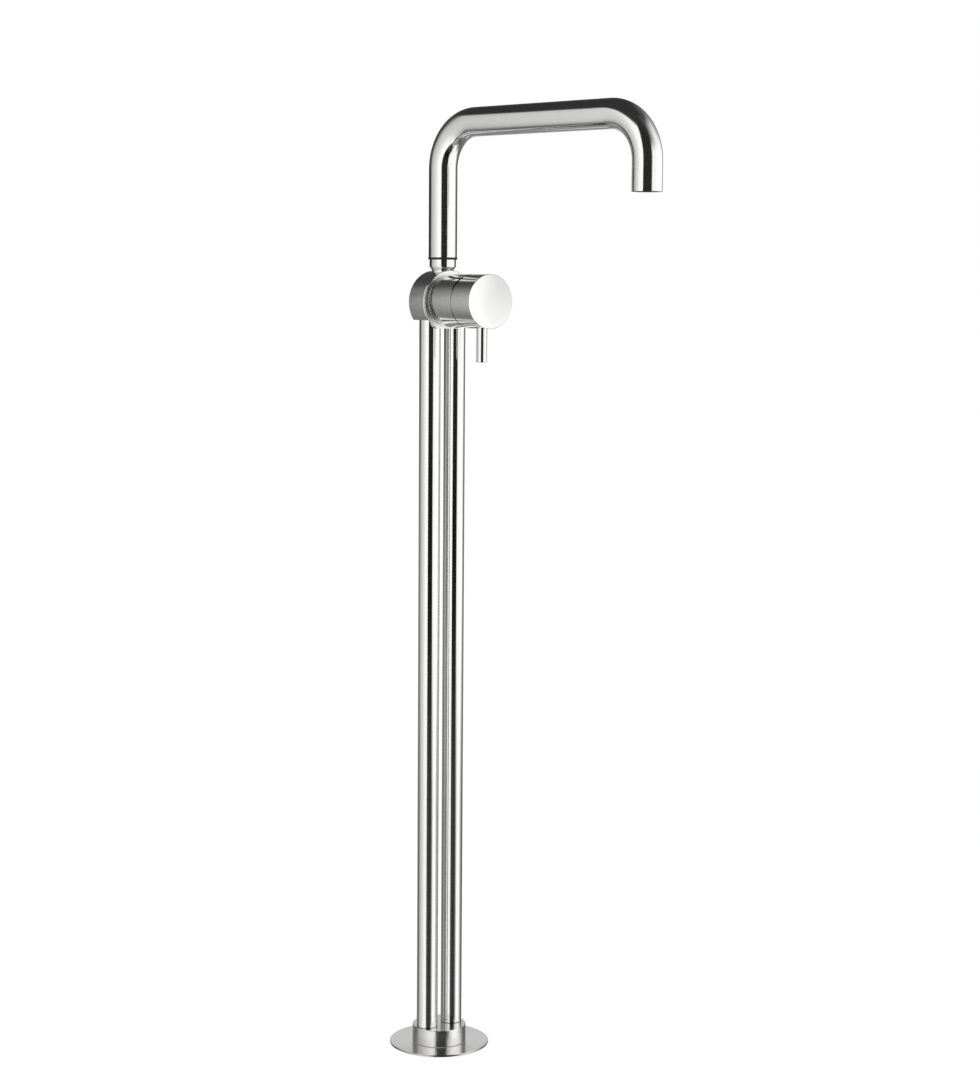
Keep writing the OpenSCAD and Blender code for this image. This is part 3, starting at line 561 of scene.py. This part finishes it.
def handle_finishes():
    """The body and its sleeve, the ring on the body's front, and the cap."""
    sleeve_front, sleeve_back = ends_of("sleeve", 1)
    face, cap_back = ends_of("handle_cap", 1)
    seam = (sleeve_front + cap_back) / 2
    # Painted shade in thin lines at the seam's two rims, and painted light on the skin of sleeve and
    # cap.
    rims = (cap_back - SEAM_RIM, cap_back - ON_RIM, sleeve_front + ON_RIM, sleeve_front + SEAM_RIM,
            SEAM_RIM_SHADE)
    skin = (face - SKIN_START[0], face - SKIN_START[1], sleeve_back - ON_RIM, sleeve_back, SKIN_PAINTED_LIGHT)
    return {
        "body_steel": steel("body_steel", "handle", 0.12, streak=0.03, spread=0.4, seam=seam,
                            stretches=(rims, skin)),
        "ring_steel": steel("ring_steel", "handle", 0.30),
        "cap_steel": steel("cap_steel", "handle", 0.12, streak=0.03, spread=0.4, seam=seam,
                           dish=face + FACE_DEPTH, stretches=(rims, skin)),
    }


def tube_finishes():
    """The supply tubes, the spout, and the plate, collar and neck that carry them."""
    collar_top = ends_of("base_collar", 2)[1]
    # Painted shade at the supply tubes' feet, just above the collar's top.
    foot = (*(collar_top + offset for offset in FOOT_LINE), FOOT_SHADE)
    # The spout's end face and a thin band beside it are darker.
    sawn = from_edge(spout_length() - OUTLET_HEIGHT, SAWN_EDGE, SAWN_TONE)
    # Painted shade on the plate's cut edge.
    cut = from_edge(ends_of("floor_plate", 0)[1], CUT_EDGE, CUT_EDGE_SHADE)
    return {
        "tube_steel": steel("tube_steel", "upright", 0.10, streak=0.008, stretches=(foot,)),
        "spout_steel": steel("spout_steel", "spout", 0.11, streak=0.012, stretches=(sawn,)),
        "plate_steel": steel("plate_steel", "disc", 0.19, streak=0.012, stretches=(cut,)),
        "collar_steel": steel("collar_steel", "upright", 0.22, COLLAR_STEEL, streak=0.03,
                              ends=ends_of("base_collar", 2)),
        "neck_steel": steel("neck_steel", "upright", 0.10, streak=0.010,
                            ends=ends_of("spout_nipple", 2)),
    }


def inner_finishes():
    """Screws, brass, seals and the cartridge."""
    finishes = {name: moulded(name, *row) for name, row in MOULDED.items()}
    finishes["screw_steel"] = steel("screw_steel", "upright", 0.30, DULL_STEEL, streak=0.04, spread=0.1)
    finishes["brass"] = turned_metal("brass", BRASS_LIGHT, BRASS_DARK, BRASS_ROUGH)
    return finishes


def dress_nodes(nodes):
    """Gives each node the finish that its material slot names."""
    finishes = {**tube_finishes(), **handle_finishes(), **inner_finishes()}
    for entry in nodes.values():
        slot = entry.material_slots[0].material.name.split(".")[0]
        entry.material_slots[0].material = finishes[slot]


def make_world():
    """A plain white surround, which is both the backdrop and the soft light."""
    world = bpy.data.worlds.new("studio")
    world.use_nodes = True
    net = Net(world.node_tree)
    background = net.node("ShaderNodeBackground")
    background.inputs["Color"].default_value = (1.0, 1.0, 1.0, 1.0)
    out = net.node("ShaderNodeOutputWorld")
    net.link(background.outputs[0], out.inputs[0])
    bpy.context.scene.world = world


def by_azimuth(cards):
    """Stops by azimuth as stops of a ramp from 0 to 1."""
    return [((azimuth + 180.0) / 360.0, level) for azimuth, level in cards]


def card_rows(net, round_about, height, on_right):
    """The four rows of cards, one above the other."""
    rows = (TOP_CARDS, HIGH_CARDS, MID_CARDS, LOW_CARDS)
    upper, high, mid, low = (net.ramp(round_about, by_azimuth(cards)) for cards in rows)
    cards = net.mix(net.smooth(height, *LOW_EDGE), low, mid)
    cards = net.mix(net.smooth(height, *HIGH_EDGE), cards, high)
    left_above = net.smooth(height, *LEFT_UPPER_EDGE)
    right_above = net.smooth(height, *RIGHT_UPPER_EDGE)
    return net.mix(net.mix(on_right, left_above, right_above), cards, upper)


def card_light(net):
    """Brightness at each place on the card wall."""
    place = net.node("ShaderNodeTexCoord").outputs["Object"]
    sine, cosine = math.sin(VIEW_AZIMUTH), math.cos(VIEW_AZIMUTH)
    toward = net.dot(place, (sine, -cosine, 0.0))
    right = net.dot(place, (cosine, sine, 0.0))
    height = net.split(place)[2]
    turn = net.math("DEGREES", net.math("ARCTAN2", right, toward))
    round_about = net.add(net.math("DIVIDE", turn, 360.0), 0.5)
    on_right = net.smooth(turn, *SIDE_CHANGE)
    cards = card_rows(net, round_about, height, on_right)
    off_front = net.math("ABSOLUTE", turn)
    for start, foot, head, level in (PLATE_CARD, RUN_CARD):
        behind = net.times(net.window(height, foot, head), net.smooth(off_front, *start))
        cards = net.mix(behind, cards, level)
    soft = net.ramp(round_about, by_azimuth(SOFT_PART))
    cards = net.times(cards, net.mix(net.window(height, SOFT_LOW, SOFT_HIGH), 1.0, soft))
    top = net.mix(on_right, net.smooth(height, *LEFT_TOP_EDGE), net.smooth(height, *RIGHT_TOP_EDGE))
    lighter = net.window(turn, RIGHT_OVERHEAD_START, RIGHT_OVERHEAD_END)
    overhead = net.mix(lighter, OVERHEAD_LEVEL, RIGHT_OVERHEAD_LEVEL)
    return net.mix(top, net.times(cards, CARD_LEVEL), overhead)


def stage_mesh(name, points, faces, look):
    """A mesh of the studio, with a new material called look and that material's nodes."""
    mesh = bpy.data.meshes.new(name)
    mesh.from_pydata(points, [], faces)
    made = bpy.data.objects.new(name, mesh)
    bpy.context.scene.collection.objects.link(made)
    material = bpy.data.materials.new(look)
    material.use_nodes = True
    material.cycles.emission_sampling = "NONE"
    mesh.materials.append(material)
    return made, Net(material.node_tree)


def stage_card(name, points, faces, level):
    """A glowing card that only the metal sees. level is a number, or a function that makes its nodes."""
    card, net = stage_mesh(name, points, faces, name)
    glow = net.node("ShaderNodeEmission")
    net.put(glow.inputs["Strength"], level(net) if callable(level) else level)
    out = net.node("ShaderNodeOutputMaterial")
    net.link(glow.outputs[0], out.inputs[0])
    card.visible_camera = False
    card.visible_diffuse = False
    card.visible_transmission = False
    card.visible_volume_scatter = False
    card.visible_shadow = False


def make_cards():
    """A ring of cards round the fitting, and dark sheets over and under it."""
    ring = []
    for step in range(WALL_STEPS):
        turn = 2 * math.pi * step / WALL_STEPS
        ring.append((WALL_RADIUS * math.cos(turn), WALL_RADIUS * math.sin(turn)))
    points = [(x, y, height) for x, y in ring for height in (WALL_LOW, WALL_HIGH)]
    count = len(points)
    faces = [(i, (i + 2) % count, (i + 3) % count, i + 1) for i in range(0, count, 2)]
    stage_card("card_wall", points, faces, card_light)
    sheet = [tuple(range(WALL_STEPS))]
    stage_card("card_over", [(x, y, WALL_HIGH) for x, y in ring], sheet, OVERHEAD_LEVEL)
    stage_card("card_under", [(x, y, WALL_LOW) for x, y in ring], sheet, UNDER_LEVEL)


def make_floor():
    """A pale floor that shows white and takes a faint shadow. The metal mirrors the cards through it."""
    signs = ((-1, -1), (1, -1), (1, 1), (-1, 1))
    points = [(x * FLOOR_HALF, y * FLOOR_HALF, -FLOOR_DROP) for x, y in signs]
    floor, net = stage_mesh("floor", points, [(0, 1, 2, 3)], "floor_paper")
    glow = net.node("ShaderNodeEmission")
    glow.inputs["Strength"].default_value = FLOOR_GLOW
    paper = net.node("ShaderNodeBsdfDiffuse")
    paper.inputs["Color"].default_value = (FLOOR_COLOUR,) * 3 + (1.0,)
    both = net.node("ShaderNodeAddShader")
    net.link(glow.outputs[0], both.inputs[0])
    net.link(paper.outputs[0], both.inputs[1])
    out = net.node("ShaderNodeOutputMaterial")
    net.link(both.outputs[0], out.inputs[0])
    floor.visible_glossy = False


def make_lamp():
    """One wide, weak lamp overhead, which only softens the shadow on the floor."""
    data = bpy.data.lights.new("overhead", "AREA")
    data.shape = "DISK"
    data.size = LAMP_SIZE
    data.energy = LAMP_POWER
    lamp = bpy.data.objects.new("overhead", data)
    lamp.location = LAMP_PLACE
    aim = Vector(LAMP_TARGET) - Vector(LAMP_PLACE)
    lamp.rotation_euler = aim.to_track_quat("-Z", "Y").to_euler()
    lamp.visible_glossy = False
    bpy.context.scene.collection.objects.link(lamp)


def camera_axes():
    """The camera's right, up and forward: turned to the fitting, then yawed, pitched and rolled."""
    cosine, sine = math.cos(CAMERA_YAW), math.sin(CAMERA_YAW)
    level, down = math.cos(CAMERA_PITCH), math.sin(CAMERA_PITCH)
    turn = Matrix.Rotation(VIEW_AZIMUTH, 3, "Z")
    forward = turn @ Vector((sine * level, cosine * level, -down))
    right = turn @ Vector((cosine, -sine, 0.0))
    up = right.cross(forward)
    roll_cosine, roll_sine = math.cos(CAMERA_ROLL), math.sin(CAMERA_ROLL)
    tipped_right = right * roll_cosine + up * roll_sine
    tipped_up = up * roll_cosine - right * roll_sine
    return tipped_right, tipped_up, forward


def make_camera():
    """The photograph's viewpoint, with its slight turn and roll and no shift."""
    right, up, forward = camera_axes()
    data = bpy.data.cameras.new("camera")
    data.sensor_width = SENSOR
    data.lens = LENS
    camera = bpy.data.objects.new("camera", data)
    matrix = Matrix((right, up, -forward)).transposed().to_4x4()
    matrix.translation = (
        CAMERA_DISTANCE * math.sin(VIEW_AZIMUTH),
        -CAMERA_DISTANCE * math.cos(VIEW_AZIMUTH),
        CAMERA_HEIGHT,
    )
    camera.matrix_world = matrix
    bpy.context.scene.collection.objects.link(camera)
    bpy.context.scene.camera = camera


bpy.context.scene.view_settings.view_transform = "Standard"
make_camera()
dress_nodes(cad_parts)
make_world()
make_cards()
make_floor()
make_lamp()
